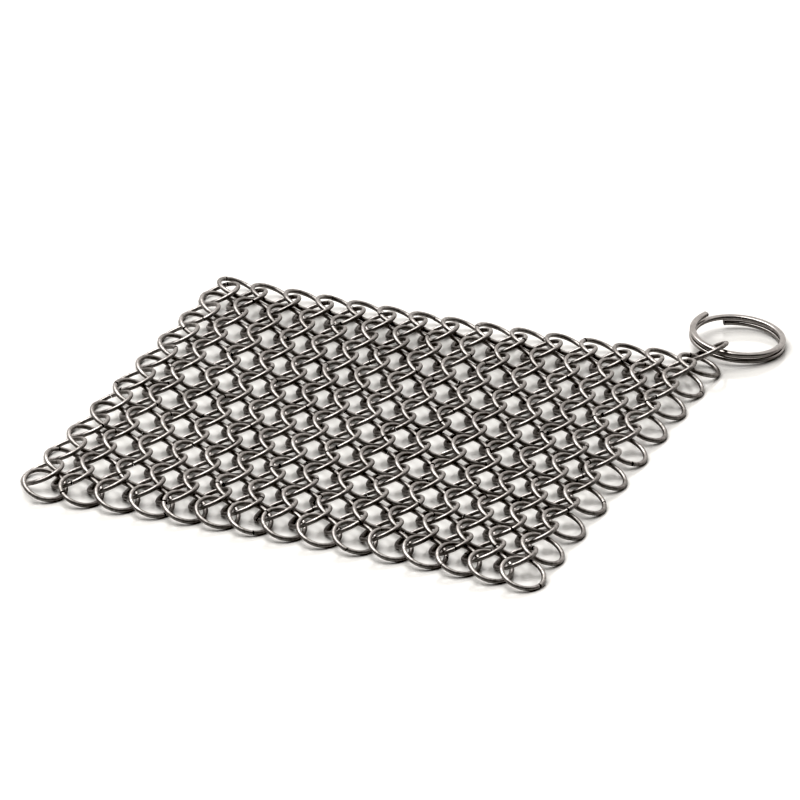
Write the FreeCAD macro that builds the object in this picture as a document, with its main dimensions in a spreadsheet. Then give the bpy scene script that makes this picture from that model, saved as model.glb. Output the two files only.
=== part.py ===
"""Chainmail pot scrubber: a square mat of butted wire links with a split ring at one corner.

The mat lies flat. X runs along its front edge, Y along the rows from front to back, Z up.
Every link passes through four neighbours, two in the row on each side of it.
"""
import FreeCAD, Part
import math
import os
from types import SimpleNamespace

# Driving dimensions in millimetres and degrees. A share is a ratio of the size that its comment names.
SIZES = {
    # Links of the mat
    "wire_diameter": 1.42,
    "link_inner": 11.38,
    "butt_gap": 0.3,
    "link_lean": 24.6,
    "link_play": 1.15,         # slack along a row where two linked wires cross
    "row_step_share": 0.857,   # distance between rows, of a link's mean radius
    "row_count": 29,           # evenly spread; one more lies closer, at the left edge
    "links_in_long_row": 10,
    # The way the mat has settled on the table. The shares in this group are of the link pitch.
    "mat_skew": 1,
    "row_drift": 0.8,          # uneven spacing of the rows
    "rows_per_drift": 17,
    "first_drift_row": 0.8,
    "side_stretch_share": 0.16,   # the rows at both sides are drawn out
    "right_stretch_share": 0.04,  # more so on the right
    "side_shift_share": -0.025,   # they lie further to the front than the middle ones
    "side_bend_share": -0.03,     # and bow to opposite ends
    "back_crowding_share": 0.11,  # the links sit closer towards the back
    "end_crowding_share": 0.15,   # and towards both ends of a row
    "lean_unevenness": 0.42,
    "droop_unevenness": 0.48,
    "edge_droop": 10,          # end links hang down to the table on their outer side
    "edge_flattening": 5,
    "edge_gap": 2.03,          # between an end link and the next one, before the mat is pulled about
    # The short row at the left edge, which hangs on one row only and lies flatter
    "left_row_step": 4.0,
    "left_row_lean": 22.5,
    "left_row_droop": 4,
    "left_row_shift": 0.5,     # towards the back
    # Connecting link
    "connector_lean": 30,
    "connector_droop": 8.3,
    "connector_reach_share": 1.29,  # from the corner link's centre to the back, of a link's mean radius
    # Split ring
    "ring_outer": 30,
    "ring_wire_width": 2.0,
    "ring_wire_height": 1.4,
    "ring_wire_rounding": 0.65,
    "ring_coil_gap": 0.45,
    "ring_start": 154,
    "ring_wound_angle": 692,
    "ring_end_spring": 0.5,    # how far the upper end has sprung off its coil
    "ring_drop": 0.81,         # of the coils under the connecting link's centre, where it holds them
    "ring_raised_side": 176,
    "ring_bearing": 73.4,      # direction from the connecting link to the ring's centre
    "ring_seat_play": 2.865,   # from the coils to the connecting link's wire
}

X_AXIS = FreeCAD.Vector(1, 0, 0)
Y_AXIS = FreeCAD.Vector(0, 1, 0)
Z_AXIS = FreeCAD.Vector(0, 0, 1)
FULL_TURN = 360
GOLDEN_ANGLE = FULL_TURN * (3 - math.sqrt(5)) / 2
RING_ARCS_PER_TURN = 4
LEFT_ROW = -1


def make_sheet(doc):
    """Put the driving dimensions into the document's spreadsheet, one alias for each."""
    sheet = doc.addObject("Spreadsheet::Sheet", "Sizes")
    for line, (name, value) in enumerate(SIZES.items(), start=1):
        sheet.set("A%d" % line, name)
        sheet.set("B%d" % line, str(value))
        sheet.setAlias("B%d" % line, name)
    doc.recompute()
    return sheet


def read_sizes(sheet):
    """Read the sheet back and add the sizes that follow from its cells."""
    size = SimpleNamespace(**{name: float(sheet.get(name)) for name in SIZES})
    size.row_count = int(size.row_count)
    size.links_in_long_row = int(size.links_in_long_row)
    size.link_radius = (size.link_inner + size.wire_diameter) / 2
    size.link_outer = size.link_inner + 2 * size.wire_diameter
    size.row_step = size.row_step_share * size.link_radius
    # Two linked wires cross the line where the planes of their links meet.
    to_line = size.row_step / 2 / math.cos(math.radians(size.link_lean))
    half_chord = math.sqrt(size.link_radius ** 2 - to_line ** 2)
    size.link_pitch = 2 * (2 * half_chord - size.wire_diameter - size.link_play)
    size.edge_pull = size.link_pitch - size.link_outer - size.edge_gap
    size.ring_radius = (size.ring_outer - size.ring_wire_width) / 2
    size.ring_climb = size.ring_wire_height + size.ring_coil_gap
    size.ring_seat = size.link_inner / 2 - size.ring_wire_width / 2 - size.ring_seat_play
    return size


def uneven(row, place, kind):
    """A repeatable value from -1 to 1 for one link, as different from its neighbours' as chance is."""
    return math.sin(13 * row + 78 * place + 38 * kind)


def row_x(size, row):
    """Place of a row across the mat, counted from the left."""
    if row == LEFT_ROW:
        return row_x(size, row + 1) - size.left_row_step
    middle = (size.row_count - 1) / 2
    phase = (row - size.first_drift_row) / size.rows_per_drift
    return (row - middle) * size.row_step + size.row_drift * math.sin(2 * math.pi * phase)


def link_y(size, row, place):
    """Place of a link along its row, with the way the mat was pulled about before it lay still."""
    half_rows = (size.row_count - 1) / 2
    half_row = (size.links_in_long_row - 1) / 2
    across = row / half_rows - 1
    along = (place - (row_length(size, row) - 1) / 2) / half_row
    pulls = size.side_stretch_share * across ** 2 * along
    pulls += size.right_stretch_share * across * along
    pulls += size.side_shift_share * across ** 2
    pulls += size.side_bend_share * across * along ** 2
    pulls -= size.back_crowding_share * along ** 2
    pulls -= size.end_crowding_share * along ** 3
    skew = row_x(size, row) * math.tan(math.radians(size.mat_skew))
    slide = size.left_row_shift if row == LEFT_ROW else 0
    return (half_row * along + pulls) * size.link_pitch - skew + slide


def is_long(row):
    """Rows with a link at both edges of the mat take turns with rows of one link less."""
    return row % 2 == 0


def row_length(size, row):
    """Number of links in a row."""
    return size.links_in_long_row if is_long(row) else size.links_in_long_row - 1


def standing_height(size, rotation):
    """Height of a link's centre when its lowest point touches the table."""
    upright = rotation.multVec(Z_AXIS).z
    return size.link_radius * math.sqrt(1 - upright ** 2) + size.wire_diameter / 2


def link_rotation(lean, droop, turn):
    """Lean about the row, droop along it, and the turn that puts the butted ends somewhere."""
    about_x = FreeCAD.Rotation(X_AXIS, droop)
    about_y = FreeCAD.Rotation(Y_AXIS, lean)
    about_z = FreeCAD.Rotation(Z_AXIS, turn)
    return about_x * about_y * about_z


def link_placement(size, row, place):
    """Centre and direction of one link of the mat."""
    count = row_length(size, row)
    x = row_x(size, row)
    y = link_y(size, row, place)
    lean = size.left_row_lean if row == LEFT_ROW else size.link_lean
    lean += size.lean_unevenness * uneven(row, place, 1)
    droop = size.left_row_droop if row == LEFT_ROW else 0
    droop += size.droop_unevenness * uneven(row, place, 2)
    if is_long(row) and place in (0, count - 1):
        inward = 1 if place == 0 else -1
        y += inward * size.edge_pull
        droop += inward * size.edge_droop
        lean -= size.edge_flattening
    side = 1 if is_long(row) else -1
    turn = GOLDEN_ANGLE * (row * size.links_in_long_row + place)
    rotation = link_rotation(side * lean, droop, turn)
    return FreeCAD.Placement(FreeCAD.Vector(x, y, standing_height(size, rotation)), rotation)


def connector_placement(size):
    """The connecting link, hung in the back right corner link of the mat."""
    last = size.row_count - 1
    corner = link_placement(size, last, row_length(size, last) - 1).Base
    rotation = link_rotation(-size.connector_lean, -size.connector_droop, GOLDEN_ANGLE)
    y = corner.y + size.connector_reach_share * size.link_radius
    return FreeCAD.Placement(FreeCAD.Vector(corner.x, y, standing_height(size, rotation)), rotation)


def add_link(doc, name, placement):
    """A butted link: a ring of round wire with a slit between its cut ends."""
    link = doc.addObject("Part::Torus", name)
    link.setExpression("Radius1", "(Sizes.link_inner + Sizes.wire_diameter) / 2")
    link.setExpression("Radius2", "Sizes.wire_diameter / 2")
    slit = "Sizes.butt_gap / (Sizes.link_inner + Sizes.wire_diameter) * %d / pi" % FULL_TURN
    link.setExpression("Angle3", "%d - %s" % (FULL_TURN, slit))
    link.Placement = placement
    return link


def add_row(doc, size, row):
    """One row of links as a group of separate solids, numbered from the ring's side of the mat."""
    label = "row_%02d" % (size.row_count - row)
    links = []
    for place in range(row_length(size, row)):
        links.append(add_link(doc, "%s_link_%02d" % (label, place + 1), link_placement(size, row, place)))
    group = doc.addObject("Part::Compound", label)
    group.Links = links
    group.Label = label
    return group


def ring_point(size, angle):
    """Point of the split ring's centre line, in the ring's own frame, at an angle past its upper end."""
    first_arc = FULL_TURN / RING_ARCS_PER_TURN
    spring = size.ring_end_spring * max(0, 1 - angle / first_arc) ** 2
    level = (size.ring_wound_angle / 2 - angle) / FULL_TURN * size.ring_climb
    bearing = math.radians(size.ring_start + angle)
    x = size.ring_radius * math.cos(bearing)
    y = size.ring_radius * math.sin(bearing)
    return FreeCAD.Vector(x, y, level + spring)


def ring_joints(size):
    """Angles past the upper end where one arc of the coil meets the next, with both ends."""
    step = FULL_TURN / RING_ARCS_PER_TURN
    joints = [0]
    while joints[-1] < size.ring_wound_angle:
        joints.append(min(joints[-1] + step, size.ring_wound_angle))
    return joints


def ring_path(size):
    """The coil as quarter-turn arcs that climb from one layer to the next."""
    joints = ring_joints(size)
    edges = []
    for start, end in zip(joints, joints[1:]):
        points = [ring_point(size, angle) for angle in (start, (start + end) / 2, end)]
        edges.append(Part.Arc(*points).toShape())
    return Part.Wire(edges)


def ring_section(size, angle):
    """Flattened wire, upright on the coil: a rectangle with round corners."""
    centre = ring_point(size, angle)
    outward = FreeCAD.Vector(centre.x, centre.y, 0).normalize()
    reach = size.ring_wire_width / 2 - size.ring_wire_rounding
    rise = size.ring_wire_height / 2 - size.ring_wire_rounding
    corners = [(1, 1), (-1, 1), (-1, -1), (1, -1)]
    arcs = []
    for quarter, (across, up) in enumerate(corners):
        points = []
        for part_turn in (0, 0.5, 1):
            turn = (quarter + part_turn) * math.pi / 2
            wide = across * reach + size.ring_wire_rounding * math.cos(turn)
            tall = up * rise + size.ring_wire_rounding * math.sin(turn)
            points.append(centre + outward * wide + Z_AXIS * tall)
        arcs.append(points)
    edges = []
    for points, following in zip(arcs, arcs[1:] + arcs[:1]):
        edges.append(Part.Arc(*points).toShape())
        edges.append(Part.LineSegment(points[2], following[0]).toShape())
    return Part.Wire(edges)


def ring_shape(size):
    """Sweep the flattened wire along the coil through a section at every joint, so that it stays upright."""
    sections = [ring_section(size, angle) for angle in ring_joints(size)]
    return ring_path(size).makePipeShell(sections, True, False)


def print_coil_gap(size):
    """Measure the least gap between the two layers of the coil on points of its path."""
    steps = int(size.ring_wound_angle - FULL_TURN)
    gaps = []
    for angle in range(steps + 1):
        upper = ring_point(size, angle)
        lower = ring_point(size, angle + FULL_TURN)
        gaps.append(upper.z - lower.z - size.ring_wire_height)
    print("least gap between the coils of the split ring: %.2f mm" % min(gaps))


def ring_tilt(size):
    """Angle at which the coils, flat on the table at their far side, pass through the connecting link."""
    off_seat = math.radians(size.ring_raised_side - size.ring_bearing) - math.pi
    resting = (size.ring_climb + size.ring_wire_height) / 2
    lift = connector_placement(size).Base.z - size.ring_drop - resting
    return math.degrees(math.asin(lift / (size.ring_radius * (1 + math.cos(off_seat)))))


def ring_placement(size, shape):
    """The ring lies on the table at its far side and is held up where the connecting link holds it."""
    raised = math.radians(size.ring_raised_side)
    hinge = FreeCAD.Vector(math.sin(raised), -math.cos(raised), 0)
    rotation = FreeCAD.Rotation(hinge, ring_tilt(size))
    connector = connector_placement(size).Base
    bearing = math.radians(size.ring_bearing)
    reach = size.ring_radius + size.ring_seat
    x = connector.x + reach * math.cos(bearing)
    y = connector.y + reach * math.sin(bearing)
    tilted = shape.copy()
    tilted.Placement = FreeCAD.Placement(FreeCAD.Vector(), rotation)
    height = -tilted.optimalBoundingBox(False, False).ZMin
    return FreeCAD.Placement(FreeCAD.Vector(x, y, height), rotation)


def add_split_ring(doc, size):
    """Key-ring coil of just under two turns, wound from flattened wire."""
    ring = doc.addObject("Part::Feature", "split_ring")
    shape = ring_shape(size)
    ring.Shape = shape
    ring.Label = "split_ring"
    ring.Placement = ring_placement(size, shape)
    print_coil_gap(size)
    return ring


def centre_on_origin(parts):
    """Shift all the sub-parts so that the origin is under the middle of the whole object."""
    box = FreeCAD.BoundBox()
    for part in parts:
        box.add(part.Shape.optimalBoundingBox(False, False))
    shift = FreeCAD.Placement(FreeCAD.Vector(-box.Center.x, -box.Center.y, -box.ZMin), FreeCAD.Rotation())
    for part in parts:
        part.Placement = shift * part.Placement
    return shift.Base


def check(doc, parts):
    """Stop if any object failed or any sub-part is not a sound solid."""
    for item in doc.Objects:
        if "Invalid" in item.State or "Error" in item.State:
            raise RuntimeError("%s did not recompute: %s" % (item.Label, item.State))
    for part in parts:
        if part.Shape.isNull() or not part.Shape.isValid() or not part.Shape.Solids:
            raise RuntimeError("%s has no sound solid" % part.Label)


def build():
    """Make the document, check it and write one file for each sub-part."""
    doc = FreeCAD.newDocument("pot_scrubber")
    size = read_sizes(make_sheet(doc))
    parts = [add_row(doc, size, row) for row in range(LEFT_ROW, size.row_count)]
    connector = add_link(doc, "connecting_link", connector_placement(size))
    connector.Label = "connecting_link"
    parts += [connector, add_split_ring(doc, size)]
    doc.recompute()
    shift = centre_on_origin(parts)
    doc.recompute()
    check(doc, parts)
    os.makedirs("parts", exist_ok=True)
    for part in parts:
        part.Shape.exportStep("parts/%s.step" % part.Label)
    return size, shift


SIZE, SHIFT = build()
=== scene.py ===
import logging
import math
from dataclasses import dataclass, field
from enum import Enum
from typing import Any, Iterable, Sequence

import bpy
import numpy as np
from mathutils import Matrix, Vector


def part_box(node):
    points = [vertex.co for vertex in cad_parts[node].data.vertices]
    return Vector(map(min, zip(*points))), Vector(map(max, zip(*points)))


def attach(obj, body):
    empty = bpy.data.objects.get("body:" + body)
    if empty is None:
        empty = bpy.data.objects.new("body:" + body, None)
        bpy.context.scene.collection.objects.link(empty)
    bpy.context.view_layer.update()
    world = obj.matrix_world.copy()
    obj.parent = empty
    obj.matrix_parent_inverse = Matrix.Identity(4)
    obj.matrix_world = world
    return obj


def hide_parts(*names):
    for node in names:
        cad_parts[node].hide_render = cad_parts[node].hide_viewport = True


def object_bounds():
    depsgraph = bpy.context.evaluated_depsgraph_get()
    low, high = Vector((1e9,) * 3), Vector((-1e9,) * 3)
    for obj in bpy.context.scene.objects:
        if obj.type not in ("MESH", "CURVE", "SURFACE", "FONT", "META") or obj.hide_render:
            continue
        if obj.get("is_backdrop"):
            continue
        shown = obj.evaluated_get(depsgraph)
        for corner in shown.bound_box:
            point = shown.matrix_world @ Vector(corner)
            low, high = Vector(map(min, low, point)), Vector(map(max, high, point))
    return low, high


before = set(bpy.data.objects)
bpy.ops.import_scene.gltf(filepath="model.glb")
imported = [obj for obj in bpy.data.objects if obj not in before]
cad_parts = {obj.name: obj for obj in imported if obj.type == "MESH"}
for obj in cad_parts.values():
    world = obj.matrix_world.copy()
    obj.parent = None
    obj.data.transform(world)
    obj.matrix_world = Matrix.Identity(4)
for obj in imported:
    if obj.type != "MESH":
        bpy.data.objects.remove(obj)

LOG = logging.getLogger("pot_scrubber")
MM = 0.001
FULL_TURN = 2 * math.pi
ALONG = "along_wire"
AROUND = "around_wire"
SHADE = "link_shade"
FACING = "link_facing"
VARIANT = "link_variant"
FROM_CUT = "from_cut"
MIX_A, MIX_B, MIX_RESULT = 6, 7, 2  # colour sockets of the Mix node
SETTLING_ROUNDS = 5  # rounds of the fit of a seat
END_FACE_LIMIT = 0.9  # a face turned along the wire by more than this share is a cut end
WELD_DIGITS = 7  # decimals of a metre to which corners are the same point


class Slot(Enum):
    """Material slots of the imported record."""

    LINKS = "link_steel"
    RING = "ring_steel"


def srgb(code: str) -> tuple[float, float, float, float]:
    """Turn a colour as seen on a screen into the renderer's linear values.

    Args:
        code: Six hexadecimal digits, red, green and blue.

    Returns:
        Linear red, green and blue, and an alpha of one.
    """
    channels = [int(code[start:start + 2], 16) / 255 for start in (0, 2, 4)]
    linear = [c / 12.92 if c <= 0.04045 else ((c + 0.055) / 1.055) ** 2.4 for c in channels]
    return (*linear, 1.0)


def add_node(tree: bpy.types.NodeTree, kind: str, settings: dict[str, Any] | None = None,
             inputs: dict[Any, Any] | None = None) -> bpy.types.Node:
    """Add a node, set its options, and set or link its inputs.

    Args:
        tree: Shader or geometry tree that gets the node.
        kind: Blender's name of the node type.
        settings: Options of the node, by attribute name.
        inputs: Values or output sockets, by the input's name or number.

    Returns:
        The new node.
    """
    node = tree.nodes.new(kind)
    for name, value in (settings or {}).items():
        setattr(node, name, value)
    for name, value in (inputs or {}).items():
        socket = node.inputs[name]
        if isinstance(value, bpy.types.NodeSocket):
            tree.links.new(value, socket)
        else:
            socket.default_value = value
    return node


@dataclass(frozen=True)
class SteelFinish:
    """Stainless steel wire: drawn and tumbled, with painted shade near its cut ends."""

    name: str
    bright: str
    dull: str
    stain: str
    # painted shade: a dark colour laid on the wire near its cut ends, in place of the shadow in the gap
    # between them
    cut_shade: str
    roughness_low: float
    roughness_high: float
    line_strength: float
    dent_strength: float
    lines_per_mm: float = 7.0  # real drawing lines are too fine to show, so these are coarser
    line_length_mm: float = 5.0
    mottle_mm: float = 0.9
    patch_mm: float = 14.0
    dent_mm: float = 1.6
    cut_shade_mm: float = 0.2
    line_depth_mm: float = 0.02
    dent_depth_mm: float = 0.08
    line_layers: float = 2.0
    mottle_layers: float = 3.0
    patch_layers: float = 2.0
    dent_layers: float = 4.0
    dull_from: float = 0.38
    dull_to: float = 0.7
    stain_from: float = 0.45
    stain_to: float = 0.75
    stain_share: float = 0.5
    shine_from: float = 0.7
    shine_to: float = 1.3

    def build(self) -> bpy.types.Material:
        """Make the material.

        Returns:
            A procedural material that follows the wire by the attributes that the node trees store.
        """
        material = bpy.data.materials.new(self.name)
        material.use_nodes = True
        tree = material.node_tree
        tree.nodes.clear()
        lines = self._drawn_lines(tree)
        mottle = self._on_object(tree, self.mottle_mm, self.mottle_layers)
        patches = self._on_object(tree, self.patch_mm, self.patch_layers)
        dents = self._on_object(tree, self.dent_mm, self.dent_layers)
        colour = self._colour(tree, mottle, patches)
        roughness = self._roughness(tree, lines, mottle)
        line_bump = add_node(tree, "ShaderNodeBump", inputs={
            "Strength": self.line_strength, "Distance": self.line_depth_mm * MM, "Height": lines})
        bump = add_node(tree, "ShaderNodeBump", inputs={
            "Strength": self.dent_strength, "Distance": self.dent_depth_mm * MM, "Height": dents,
            "Normal": line_bump.outputs["Normal"]})
        shader = add_node(tree, "ShaderNodeBsdfPrincipled", inputs={
            "Metallic": 1.0, "Base Color": colour, "Roughness": roughness,
            "Normal": bump.outputs["Normal"]})
        add_node(tree, "ShaderNodeOutputMaterial", inputs={"Surface": shader.outputs["BSDF"]})
        return material

    def _on_object(self, tree: bpy.types.NodeTree, grain_mm: float, detail: float) -> bpy.types.NodeSocket:
        """Add noise in space.

        Args:
            tree: The material's tree.
            grain_mm: Size of the pattern's grains.
            detail: Number of finer layers.

        Returns:
            The noise's value.
        """
        place = add_node(tree, "ShaderNodeTexCoord")
        noise = add_node(tree, "ShaderNodeTexNoise", inputs={
            "Vector": place.outputs["Object"], "Scale": 1 / (grain_mm * MM), "Detail": detail})
        return noise.outputs["Fac"]

    def _drawn_lines(self, tree: bpy.types.NodeTree) -> bpy.types.NodeSocket:
        """Add the fine lines that the drawing die leaves along the wire.

        Args:
            tree: The material's tree.

        Returns:
            The height of the lines.
        """
        along = add_node(tree, "ShaderNodeAttribute", {"attribute_name": ALONG})
        around = add_node(tree, "ShaderNodeAttribute", {"attribute_name": AROUND})
        shade = add_node(tree, "ShaderNodeAttribute", {"attribute_name": SHADE})
        across = add_node(tree, "ShaderNodeVectorMath", {"operation": "SCALE"}, {
            "Vector": around.outputs["Vector"], "Scale": self.lines_per_mm / MM})
        length = add_node(tree, "ShaderNodeMath", {"operation": "MULTIPLY_ADD"}, {
            0: along.outputs["Fac"], 1: 1 / (self.line_length_mm * MM), 2: shade.outputs["Fac"]})
        run = add_node(tree, "ShaderNodeCombineXYZ", inputs={"Z": length.outputs["Value"]})
        place = add_node(tree, "ShaderNodeVectorMath", {"operation": "ADD"}, {
            0: across.outputs["Vector"], 1: run.outputs["Vector"]})
        noise = add_node(tree, "ShaderNodeTexNoise", inputs={
            "Vector": place.outputs["Vector"], "Scale": 1.0, "Detail": self.line_layers})
        return noise.outputs["Fac"]

    def _colour(self, tree: bpy.types.NodeTree, mottle: bpy.types.NodeSocket,
                patches: bpy.types.NodeSocket) -> bpy.types.NodeSocket:
        """Mix the bright steel with its dull and stained patches, and paint shade near the cut ends.

        Args:
            tree: The material's tree.
            mottle: Fine noise.
            patches: Coarse noise.

        Returns:
            The colour.
        """
        dulling = add_node(tree, "ShaderNodeMapRange", inputs={
            "Value": mottle, "From Min": self.dull_from, "From Max": self.dull_to})
        worn = add_node(tree, "ShaderNodeMix", {"data_type": "RGBA"}, {
            0: dulling.outputs["Result"], MIX_A: srgb(self.bright), MIX_B: srgb(self.dull)})
        staining = add_node(tree, "ShaderNodeMapRange", inputs={
            "Value": patches, "From Min": self.stain_from, "From Max": self.stain_to,
            "To Max": self.stain_share})
        stained = add_node(tree, "ShaderNodeMix", {"data_type": "RGBA"}, {
            0: staining.outputs["Result"], MIX_A: worn.outputs[MIX_RESULT], MIX_B: srgb(self.stain)})
        # Painted shade: the steel turns dark within a short distance of each cut end, standing in for the
        # shadow in the gap between the ends.
        from_cut = add_node(tree, "ShaderNodeAttribute", {"attribute_name": FROM_CUT})
        cut_shading = add_node(tree, "ShaderNodeMapRange", inputs={
            "Value": from_cut.outputs["Fac"], "From Max": self.cut_shade_mm * MM,
            "To Min": 1.0, "To Max": 0.0})
        cut_shaded = add_node(tree, "ShaderNodeMix", {"data_type": "RGBA"}, {
            0: cut_shading.outputs["Result"], MIX_A: stained.outputs[MIX_RESULT], MIX_B: srgb(self.cut_shade)})
        return cut_shaded.outputs[MIX_RESULT]

    def _roughness(self, tree: bpy.types.NodeTree, lines: bpy.types.NodeSocket,
                   mottle: bpy.types.NodeSocket) -> bpy.types.NodeSocket:
        """Make the drawn lines and the tumbled spots less shiny.

        Args:
            tree: The material's tree.
            lines: Height of the drawn lines.
            mottle: Fine noise.

        Returns:
            The roughness.
        """
        both = add_node(tree, "ShaderNodeMath", {"operation": "ADD"}, {0: lines, 1: mottle})
        spread = add_node(tree, "ShaderNodeMapRange", inputs={
            "Value": both.outputs["Value"], "From Min": self.shine_from, "From Max": self.shine_to,
            "To Min": self.roughness_low, "To Max": self.roughness_high})
        return spread.outputs["Result"]


# Round wire, tumbled to satin: each link gets a soft long highlight, dark flanks and painted shade at its
# cut.
WIRE_STEEL = SteelFinish(
    name="tumbled_stainless_wire", bright="A3A09E", dull="868380", stain="6D6A68", cut_shade="4A4745",
    roughness_low=0.36, roughness_high=0.5, line_strength=0.25, dent_strength=0.2)
# Smoother flat wire: the ring shows an even grey top with clear bright edges, quieter than the links.
# The ring's two wire ends get the same painted shade as the links' cuts.
RING_STEEL = SteelFinish(
    name="flattened_stainless_wire", bright="A5A2A0", dull="959290", stain="807D7A", cut_shade="4A4745",
    roughness_low=0.26, roughness_high=0.34, line_strength=0.05, dent_strength=0.06,
    line_length_mm=8.0)


@dataclass
class LinkSeat:
    """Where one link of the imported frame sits."""

    centre: np.ndarray
    axes: np.ndarray
    radius: float
    wire: float

    def cut_room(self, box: tuple[np.ndarray, np.ndarray]) -> float:
        """Tell how far the wire at the cut stays from the sides of a box.

        Args:
            box: Lowest and highest corner.

        Returns:
            The least distance.
        """
        cut = self.centre + self.radius * self.axes[:, 0]
        return float(min((cut - box[0]).min(), (box[1] - cut).min())) - self.wire / 2


def link_seat(triangles: np.ndarray) -> LinkSeat:
    """Find the seat of a link from the triangles of its solid.

    Args:
        triangles: Corners of each triangle of the link's mesh.

    Returns:
        The centre, the axes as columns (towards the cut, across it, along the link's axis) and the sizes.
    """
    points = triangles[:, 0]
    centre = points.mean(0)
    normal = np.linalg.svd(points - centre, full_matrices=False)[2][2]
    radius = np.linalg.norm(points - centre, axis=1).mean()
    wire_radius = abs((points - centre) @ normal).max()
    for _ in range(SETTLING_ROUNDS):
        height = (points - centre) @ normal
        flat = points - centre - height[:, None] * normal
        reach = np.linalg.norm(flat, axis=1)
        outward = flat / reach[:, None]
        depth = np.hypot(reach - radius, height)
        away = ((reach - radius)[:, None] * outward + height[:, None] * normal) / depth[:, None]
        turning = np.cross(normal, outward) * (height * radius / depth)[:, None]
        system = np.column_stack([-away, turning, (radius - reach) / depth, -np.ones(len(points))])
        change = np.linalg.lstsq(system, wire_radius - depth, rcond=None)[0]
        centre = centre + change[:3]
        normal = normal + np.cross(change[3:6], normal)
        normal /= np.linalg.norm(normal)
        radius += change[6]
        wire_radius += change[7]
    facing = np.cross(triangles[:, 1] - points, triangles[:, 2] - points)
    along = np.cross(normal, triangles.mean(1) - centre)
    lengths = np.linalg.norm(facing, axis=1) * np.linalg.norm(along, axis=1)
    turned = abs((facing * along).sum(1)) / lengths
    towards_cut = triangles[turned > END_FACE_LIMIT].mean((0, 1)) - centre
    towards_cut -= (towards_cut @ normal) * normal
    towards_cut /= np.linalg.norm(towards_cut)
    axes = np.column_stack([towards_cut, np.cross(normal, towards_cut), normal])
    return LinkSeat(centre, axes, radius, 2 * wire_radius)


def islands(mesh: bpy.types.Mesh) -> list[np.ndarray]:
    """Split a mesh into the pieces that hang together.

    Args:
        mesh: A mesh whose triangles may be loose.

    Returns:
        The corners of each piece's triangles.
    """
    mesh.calc_loop_triangles()
    corners = np.zeros(len(mesh.vertices) * 3)
    mesh.vertices.foreach_get("co", corners)
    points, merged = np.unique(
        corners.reshape(-1, 3).round(WELD_DIGITS), axis=0, return_inverse=True)
    triangles = np.zeros(len(mesh.loop_triangles) * 3, dtype=np.int32)
    mesh.loop_triangles.foreach_get("vertices", triangles)
    triangles = merged.reshape(-1)[triangles].reshape(-1, 3)
    labels = np.arange(len(points))
    changed = True
    while changed:
        spread = labels.copy()
        np.minimum.at(spread, triangles, labels[triangles].min(1)[:, None])
        changed = bool((spread != labels).any())
        labels = spread
    owners = labels[triangles[:, 0]]
    return [points[triangles[owners == label]] for label in np.unique(owners)]


def seats_of(node: str) -> list[LinkSeat]:
    """Read the links of one node of the frame.

    Args:
        node: Name of the node.

    Returns:
        One seat for each link, from front to back.
    """
    seats = [link_seat(triangles) for triangles in islands(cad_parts[node].data)]
    return sorted(seats, key=lambda seat: seat.centre[1])


@dataclass
class TreeInput:
    """One named input of a geometry tree."""

    name: str
    kind: str
    value: Any


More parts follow.
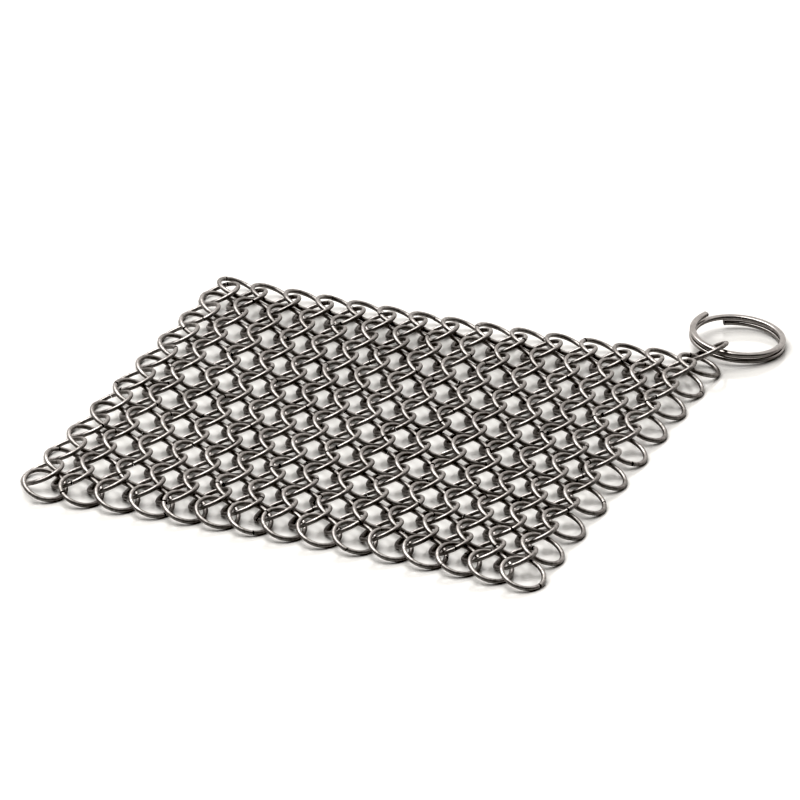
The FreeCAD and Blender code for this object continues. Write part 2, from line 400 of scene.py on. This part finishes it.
class GeometryTree:
    """A Geometry Nodes tree with named inputs that turns a base mesh into a finished piece."""

    def __init__(self, name: str, inputs: Sequence[TreeInput]) -> None:
        """Start the tree with its inputs and its output.

        Args:
            name: Name of the tree.
            inputs: The named inputs, besides the base geometry.
        """
        self.tree = bpy.data.node_groups.new(name, "GeometryNodeTree")
        self.identifiers: dict[str, str] = {}
        self.values = {item.name: item.value for item in inputs}
        self.tree.interface.new_socket("Base", in_out="INPUT", socket_type="NodeSocketGeometry")
        for item in inputs:
            socket = self.tree.interface.new_socket(item.name, in_out="INPUT", socket_type=item.kind)
            self.identifiers[item.name] = socket.identifier
        self.tree.interface.new_socket("Piece", in_out="OUTPUT", socket_type="NodeSocketGeometry")
        self.source = self.node("NodeGroupInput")

    def node(self, kind: str, settings: dict[str, Any] | None = None,
             inputs: dict[Any, Any] | None = None) -> bpy.types.Node:
        """Add a node to this tree.

        Args:
            kind: Blender's name of the node type.
            settings: Options of the node, by attribute name.
            inputs: Values or output sockets, by the input's name or number.

        Returns:
            The new node.
        """
        return add_node(self.tree, kind, settings, inputs)

    def input(self, name: str) -> bpy.types.NodeSocket:
        """Find the socket that carries a named input.

        Args:
            name: The input's name.

        Returns:
            The socket.
        """
        return self.source.outputs[name]

    def calculate(self, operation: str, *values: Any) -> bpy.types.NodeSocket:
        """Add a sum of sockets and numbers.

        Args:
            operation: Name of the operation.
            values: Its terms.

        Returns:
            The result.
        """
        node = self.node("ShaderNodeMath", {"operation": operation}, dict(enumerate(values)))
        return node.outputs["Value"]

    def from_ends(self, from_middle: bpy.types.NodeSocket, half_length: float) -> bpy.types.NodeSocket:
        """Work out how far a point of a line is from the nearer end.

        Args:
            from_middle: Place along the line, from minus one over zero in the middle to one.
            half_length: Half the line's length.

        Returns:
            The distance along the line.
        """
        share_left = self.calculate("SUBTRACT", 1.0, self.calculate("ABSOLUTE", from_middle))
        return self.calculate("MULTIPLY", share_left, half_length)

    def keep(self, geometry: bpy.types.NodeSocket, name: str, kind: str,
             value: bpy.types.NodeSocket) -> bpy.types.NodeSocket:
        """Store a value on the points of a geometry.

        Args:
            geometry: The geometry.
            name: Name of the attribute.
            kind: Type of the attribute.
            value: The value.

        Returns:
            The geometry with the attribute.
        """
        node = self.node("GeometryNodeStoreNamedAttribute", {"data_type": kind, "domain": "POINT"}, {
            "Geometry": geometry, "Name": name, "Value": value})
        return node.outputs["Geometry"]

    def end(self, geometry: bpy.types.NodeSocket) -> None:
        """Close the tree: make instances real, shade them smooth and give them the material.

        Args:
            geometry: The finished geometry.
        """
        real = self.node("GeometryNodeRealizeInstances", inputs={"Geometry": geometry})
        smooth = self.node("GeometryNodeSetShadeSmooth", inputs={"Geometry": real.outputs["Geometry"]})
        dressed = self.node("GeometryNodeSetMaterial", inputs={
            "Geometry": smooth.outputs[0], "Material": self.input("Material")})
        self.node("NodeGroupOutput", inputs={"Piece": dressed.outputs["Geometry"]})

    def make(self, name: str, base: bpy.types.Mesh, changes: dict[str, Any]) -> bpy.types.Object:
        """Run the tree on a base mesh.

        Args:
            name: Name of the piece.
            base: Points or lines that the tree starts from.
            changes: Values of inputs that differ from the usual ones.

        Returns:
            The piece as a plain mesh at the origin.
        """
        maker = bpy.data.objects.new(name + "_base", base)
        bpy.context.scene.collection.objects.link(maker)
        modifier = maker.modifiers.new("make", "NODES")
        modifier.node_group = self.tree
        for key, value in {**self.values, **changes}.items():
            modifier[self.identifiers[key]] = value
        graph = bpy.context.evaluated_depsgraph_get()
        mesh = bpy.data.meshes.new_from_object(maker.evaluated_get(graph))
        maker.modifiers.remove(modifier)
        bpy.data.objects.remove(maker)
        mesh.name = name
        piece = bpy.data.objects.new(name, mesh)
        bpy.context.scene.collection.objects.link(piece)
        return piece


@dataclass(frozen=True)
class ButtVariant:
    """How well the two cut ends of a link meet."""

    gap: float
    step_along_axis: float
    step_outwards: float


class LinkTree(GeometryTree):
    """Butted wire links on points that carry a rotation and the number of a variant."""

    variants = (
        ButtVariant(0.26 * MM, 0.00 * MM, 0.00 * MM),
        ButtVariant(0.14 * MM, 0.12 * MM, 0.04 * MM),
        ButtVariant(0.30 * MM, -0.08 * MM, -0.06 * MM),
        ButtVariant(0.10 * MM, -0.15 * MM, 0.05 * MM),
        ButtVariant(0.20 * MM, 0.15 * MM, -0.04 * MM),
    )
    bend_sharpness = 9.0  # an odd power, so the two ends bend apart and the rest of the link stays round
    inside = 0.012 * MM  # keeps the wire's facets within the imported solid
    link_steps = 56
    wire_steps = 12
    shade_range = 100.0

    def __init__(self, seat: LinkSeat, material: bpy.types.Material) -> None:
        """Build the tree for links of one size.

        Args:
            seat: A seat that gives the sizes.
            material: The links' finish.
        """
        super().__init__("butted_links", [
            TreeInput("Link Radius", "NodeSocketFloat", seat.radius),
            TreeInput("Wire Radius", "NodeSocketFloat", seat.wire / 2 - self.inside),
            TreeInput("Steps Round Link", "NodeSocketInt", self.link_steps),
            TreeInput("Steps Round Wire", "NodeSocketInt", self.wire_steps),
            TreeInput("Seed", "NodeSocketInt", 0),
            TreeInput("Material", "NodeSocketMaterial", material),
        ])
        profile = self._profile()
        links = self.node("GeometryNodeJoinGeometry")
        for variant in reversed(self.variants):  # the socket puts the last link first
            self.tree.links.new(self._link(variant, profile, seat.radius), links.inputs["Geometry"])
        facing = self.node("GeometryNodeInputNamedAttribute", {"data_type": "QUATERNION"}, {"Name": FACING})
        variant = self.node("GeometryNodeInputNamedAttribute", {"data_type": "INT"}, {"Name": VARIANT})
        shade = self.node("FunctionNodeRandomValue", {"data_type": "FLOAT"}, {
            "Max": self.shade_range, "Seed": self.input("Seed")})
        points = self.keep(self.input("Base"), SHADE, "FLOAT", shade.outputs[1])
        placed = self.node("GeometryNodeInstanceOnPoints", inputs={
            "Points": points, "Instance": links.outputs["Geometry"], "Pick Instance": True,
            "Instance Index": variant.outputs["Attribute"], "Rotation": facing.outputs["Attribute"]})
        self.end(placed.outputs["Instances"])

    def _profile(self) -> bpy.types.NodeSocket:
        """Draw the round section of the wire, which keeps its own points for the finish.

        Returns:
            The section.
        """
        circle = self.node("GeometryNodeCurvePrimitiveCircle", inputs={
            "Resolution": self.input("Steps Round Wire"), "Radius": self.input("Wire Radius")})
        place = self.node("GeometryNodeInputPosition")
        return self.keep(circle.outputs["Curve"], AROUND, "FLOAT_VECTOR", place.outputs["Position"])

    def _link(self, variant: ButtVariant, profile: bpy.types.NodeSocket,
              usual_radius: float) -> bpy.types.NodeSocket:
        """Make one link whose cut ends meet as the variant says.

        Args:
            variant: The gap and the steps between the ends.
            profile: Section of the wire.
            usual_radius: Mean radius of a link, which turns the gap into an angle.

        Returns:
            The link as one instance.
        """
        opening = variant.gap / usual_radius
        arc = self.node("GeometryNodeCurveArc", inputs={
            "Resolution": self.input("Steps Round Link"), "Radius": self.input("Link Radius"),
            "Start Angle": opening / 2, "Sweep Angle": FULL_TURN - opening})
        along = self.node("GeometryNodeSplineParameter")
        from_middle = self.calculate("MULTIPLY_ADD", along.outputs["Factor"], 2.0, -1.0)
        bend = self.calculate("POWER", from_middle, self.bend_sharpness)
        offset = self.node("ShaderNodeVectorMath", {"operation": "SCALE"}, {
            0: (variant.step_outwards / 2, 0.0, variant.step_along_axis / 2), "Scale": bend})
        bent = self.node("GeometryNodeSetPosition", inputs={
            "Geometry": arc.outputs["Curve"], "Offset": offset.outputs["Vector"]})
        wire = self.keep(bent.outputs["Geometry"], ALONG, "FLOAT", along.outputs["Length"])
        # The distance from the cut drives the painted shade near the cut ends.
        from_cut = self.from_ends(from_middle, FULL_TURN / 2 * usual_radius)
        wire = self.keep(wire, FROM_CUT, "FLOAT", from_cut)
        mesh = self.node("GeometryNodeCurveToMesh", inputs={
            "Curve": wire, "Profile Curve": profile, "Fill Caps": True})
        link = self.node("GeometryNodeGeometryToInstance", inputs={"Geometry": mesh.outputs["Mesh"]})
        return link.outputs[0]


@dataclass
class ChainmailMat:
    """The mat: rows of links, each row one rigid body of the frame."""

    tree: LinkTree
    nodes: list[str]
    box: tuple[np.ndarray, np.ndarray]
    least_room: float = 0.6 * MM  # a cut nearer than this to the object's box stays plain
    pieces: list[bpy.types.Object] = field(default_factory=list)

    def build(self) -> None:
        """Make one piece for each row, on the seats of its node."""
        for row, node in enumerate(self.nodes):
            piece = self.tree.make(node + "_links", self._seats_mesh(node, row), {"Seed": row})
            self.pieces.append(piece)
            dress(piece, node)

    def _seats_mesh(self, node: str, row: int) -> bpy.types.Mesh:
        """Set points at the middles of a row's links, with their rotations and variants.

        Args:
            node: Name of the row's node.
            row: Number of the row, which seeds the choice of variants.

        Returns:
            The points as a mesh.
        """
        seats = seats_of(node)
        mesh = bpy.data.meshes.new(node + "_seats")
        mesh.from_pydata([seat.centre.tolist() for seat in seats], [], [])
        facing = mesh.attributes.new(FACING, "QUATERNION", "POINT")
        turns = [Matrix(seat.axes.tolist()).to_quaternion() for seat in seats]
        facing.data.foreach_set("value", np.array([list(turn) for turn in turns]).ravel())
        variant = mesh.attributes.new(VARIANT, "INT", "POINT")
        picks = np.random.default_rng(row).integers(0, len(LinkTree.variants), len(seats))
        picks[[seat.cut_room(self.box) < self.least_room for seat in seats]] = 0
        variant.data.foreach_set("value", picks.astype(np.int32))
        return mesh


@dataclass
class SplitRing:
    """Key ring of nearly two coils of flattened wire."""

    material: bpy.types.Material
    outer: float = 30.0 * MM
    wire_width: float = 2.0 * MM
    wire_height: float = 1.4 * MM
    rounding: float = 0.65 * MM
    coil_gap: float = 0.45 * MM
    start: float = math.radians(154)
    wound_angle: float = math.radians(692)
    end_spring: float = 0.5 * MM
    tilt: float = math.radians(5.294)
    raised_side: float = math.radians(176)
    path_steps: int = 260
    corner_steps: int = 6
    node: str = "split_ring"

    def path(self) -> np.ndarray:
        """Work out the coil's centre line in the ring's own frame.

        Returns:
            Points along the line.
        """
        angles = np.linspace(0.0, self.wound_angle, self.path_steps)
        spring = self.end_spring * np.clip(1 - angles / (FULL_TURN / 4), 0, None) ** 2
        climb = self.wire_height + self.coil_gap
        level = (self.wound_angle / 2 - angles) / FULL_TURN * climb + spring
        radius = (self.outer - self.wire_width) / 2
        bearing = self.start + angles
        return np.column_stack([radius * np.cos(bearing), radius * np.sin(bearing), level])

    def build(self) -> bpy.types.Object:
        """Sweep the flattened wire along the coil and lay it where the frame's ring lies.

        Returns:
            The finished piece.
        """
        points = self.path()
        base = bpy.data.meshes.new("split_ring_line")
        base.from_pydata(points.tolist(), [(n, n + 1) for n in range(len(points) - 1)], [])
        tree = RingTree(self)
        piece = tree.make("split_ring_coil", base, {})
        hinge = Vector((math.sin(self.raised_side), -math.cos(self.raised_side), 0.0))
        piece.data.transform(Matrix.Rotation(self.tilt, 4, hinge))
        low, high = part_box(self.node)
        corners = np.array([corner.co for corner in piece.data.vertices])
        middle = Vector((corners.min(0) + corners.max(0)) / 2)
        piece.data.transform(Matrix.Translation((low + high) / 2 - middle))
        dress(piece, self.node)
        return piece


class RingTree(GeometryTree):
    """Flattened wire along a line, kept upright."""

    def __init__(self, ring: SplitRing) -> None:
        """Build the tree for one ring.

        Args:
            ring: The ring, which gives the sizes and the finish.
        """
        super().__init__("flattened_coil", [
            TreeInput("Wire Width", "NodeSocketFloat", ring.wire_width),
            TreeInput("Wire Height", "NodeSocketFloat", ring.wire_height),
            TreeInput("Rounding", "NodeSocketFloat", ring.rounding),
            TreeInput("Steps Round Corner", "NodeSocketInt", ring.corner_steps),
            TreeInput("Material", "NodeSocketMaterial", ring.material),
        ])
        line = self.node("GeometryNodeMeshToCurve", inputs={"Mesh": self.input("Base")})
        upright = self.node("GeometryNodeSetCurveNormal", {"mode": "Z_UP"}, {
            "Curve": line.outputs["Curve"]})
        along = self.node("GeometryNodeSplineParameter")
        wire = self.keep(upright.outputs["Curve"], ALONG, "FLOAT", along.outputs["Length"])
        # The distance from the ends drives the painted shade at the coil's two cut ends.
        from_middle = self.calculate("MULTIPLY_ADD", along.outputs["Factor"], 2.0, -1.0)
        half_length = ring.wound_angle * (ring.outer - ring.wire_width) / 4
        wire = self.keep(wire, FROM_CUT, "FLOAT", self.from_ends(from_middle, half_length))
        shape = self.node("GeometryNodeCurvePrimitiveQuadrilateral", inputs={
            "Width": self.input("Wire Width"), "Height": self.input("Wire Height")})
        rounded = self.node("GeometryNodeFilletCurve", {"mode": "POLY"}, {
            "Curve": shape.outputs["Curve"], "Radius": self.input("Rounding"),
            "Count": self.input("Steps Round Corner")})
        place = self.node("GeometryNodeInputPosition")
        profile = self.keep(rounded.outputs["Curve"], AROUND, "FLOAT_VECTOR", place.outputs["Position"])
        mesh = self.node("GeometryNodeCurveToMesh", inputs={
            "Curve": wire, "Profile Curve": profile, "Fill Caps": True})
        self.end(mesh.outputs["Mesh"])


def dress(piece: bpy.types.Object, node: str) -> None:
    """Let a piece stand for a node of the frame and move with its body.

    Args:
        piece: The finished piece.
        node: Node of the frame, whose body has the same name.
    """
    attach(piece, node)
    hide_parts(node)
    LOG.info("%s: %d faces", piece.name, len(piece.data.polygons))


@dataclass
class Studio:
    """Plain pale floor, soft light from above and behind, and the camera of the photograph."""

    azimuth: float = math.radians(21.1)
    elevation: float = math.radians(25.0)
    distance: float = 2.5
    pixels_per_mm: float = 3.306
    image_pixels: float = 800.0
    aim: tuple[float, float, float] = (-4.094 * MM, -11.495 * MM, 0.0)
    aim_pixel: tuple[float, float] = (380.0, 431.3)
    sensor: float = 36.0
    clip_end: float = 50.0
    floor_half: float = 6.0
    floor_colour: str = "C2C1BF"
    floor_roughness: float = 0.12
    sky_colour: str = "FFFDFB"
    sky_tilt: float = 0.5
    sky_from: float = -0.2
    sky_to: float = 0.6
    sky_low: float = 0.15
    sky_high: float = 1.8
    softbox_place: tuple[float, float, float] = (-0.46, -0.12, 1.3)
    softbox_size: tuple[float, float] = (1.7, 1.4)
    softbox_watts: float = 38.0
    contrast: float = 0.7
    black_level: float = 0.075
    white_level: float = 1.149

    def build(self) -> None:
        """Make the floor, the light and the camera."""
        view = bpy.context.scene.view_settings
        view.view_transform = "Standard"
        view.look = "None"
        view.exposure = 0.0
        view.gamma = self.contrast
        view.use_curve_mapping = True
        view.curve_mapping.black_level = (self.black_level,) * 3
        view.curve_mapping.white_level = (self.white_level,) * 3
        view.curve_mapping.update()
        self._floor()
        self._sky()
        self._softbox("top_softbox", self.softbox_place, self.softbox_size, self.softbox_watts)
        self._camera()

    def _floor(self) -> None:
        """Lay a large pale sheet under the object."""
        mesh = bpy.data.meshes.new("floor")
        half = self.floor_half
        mesh.from_pydata([(-half, -half, 0), (half, -half, 0), (half, half, 0), (-half, half, 0)], [],
                         [(0, 1, 2, 3)])
        floor = bpy.data.objects.new("floor", mesh)
        bpy.context.scene.collection.objects.link(floor)
        # Pale acrylic: the object stands on white, with a faint image of its front edge.
        material = bpy.data.materials.new("pale_acrylic_sheet")
        material.use_nodes = True
        shader = material.node_tree.nodes["Principled BSDF"]
        shader.inputs["Base Color"].default_value = srgb(self.floor_colour)
        shader.inputs["Roughness"].default_value = self.floor_roughness
        mesh.materials.append(material)
        floor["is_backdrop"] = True

    def _sky(self) -> None:
        """Light the scene from a dome that is bright behind and overhead and dark on the camera's side."""
        world = bpy.data.worlds.new("studio")
        bpy.context.scene.world = world
        world.use_nodes = True
        tree = world.node_tree
        tree.nodes.clear()
        place = add_node(tree, "ShaderNodeTexCoord")
        behind = Vector((-math.sin(self.azimuth), math.cos(self.azimuth), self.sky_tilt)).normalized()
        toward = add_node(tree, "ShaderNodeVectorMath", {"operation": "DOT_PRODUCT"}, {
            0: place.outputs["Generated"], 1: behind})
        strength = add_node(tree, "ShaderNodeMapRange", {"interpolation_type": "SMOOTHSTEP"}, {
            "Value": toward.outputs["Value"], "From Min": self.sky_from, "From Max": self.sky_to,
            "To Min": self.sky_low, "To Max": self.sky_high})
        background = add_node(tree, "ShaderNodeBackground", inputs={
            "Color": srgb(self.sky_colour), "Strength": strength.outputs["Result"]})
        add_node(tree, "ShaderNodeOutputWorld", inputs={"Surface": background.outputs["Background"]})

    def _softbox(self, name: str, place: tuple[float, float, float], size: tuple[float, float],
                 power: float) -> None:
        """Hang a softbox that faces the object.

        Args:
            name: Name of the lamp.
            place: Where it hangs.
            size: Its two sides.
            power: Light power in watts.
        """
        light = bpy.data.lights.new(name, "AREA")
        light.shape = "RECTANGLE"
        light.size, light.size_y = size
        light.energy = power
        lamp = bpy.data.objects.new(name, light)
        bpy.context.scene.collection.objects.link(lamp)
        lamp.location = place
        lamp.rotation_mode = "QUATERNION"
        lamp.rotation_quaternion = (-lamp.location).to_track_quat("-Z", "Y")

    def _camera(self) -> None:
        """Set the camera at the photograph's angle and framing."""
        camera = bpy.data.cameras.new("camera")
        camera.sensor_width = self.sensor
        pixels = self.pixels_per_mm / MM * self.distance
        camera.lens = pixels * self.sensor / self.image_pixels
        camera.shift_x = (self.image_pixels / 2 - self.aim_pixel[0]) / self.image_pixels
        camera.shift_y = (self.aim_pixel[1] - self.image_pixels / 2) / self.image_pixels
        camera.clip_end = self.clip_end
        holder = bpy.data.objects.new("camera", camera)
        bpy.context.scene.collection.objects.link(holder)
        back = Vector((math.sin(self.azimuth) * math.cos(self.elevation),
                       -math.cos(self.azimuth) * math.cos(self.elevation), math.sin(self.elevation)))
        holder.location = Vector(self.aim) + back * self.distance
        holder.rotation_mode = "QUATERNION"
        holder.rotation_quaternion = (-back).to_track_quat("-Z", "Y")
        bpy.context.scene.camera = holder


def main() -> None:
    """Dress every node of the frame and set up the studio."""
    logging.basicConfig(level=logging.INFO, format="%(message)s")
    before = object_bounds()
    wire_steel = WIRE_STEEL.build()
    ring_steel = RING_STEEL.build()
    rows = sorted(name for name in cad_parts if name.startswith("row_"))
    tree = LinkTree(seats_of(rows[0])[0], wire_steel)
    box = (np.array(before[0]), np.array(before[1]))
    ChainmailMat(tree, rows + ["connecting_link"], box).build()
    SplitRing(ring_steel).build()
    Studio().build()


if __name__ == "__main__":
    main()
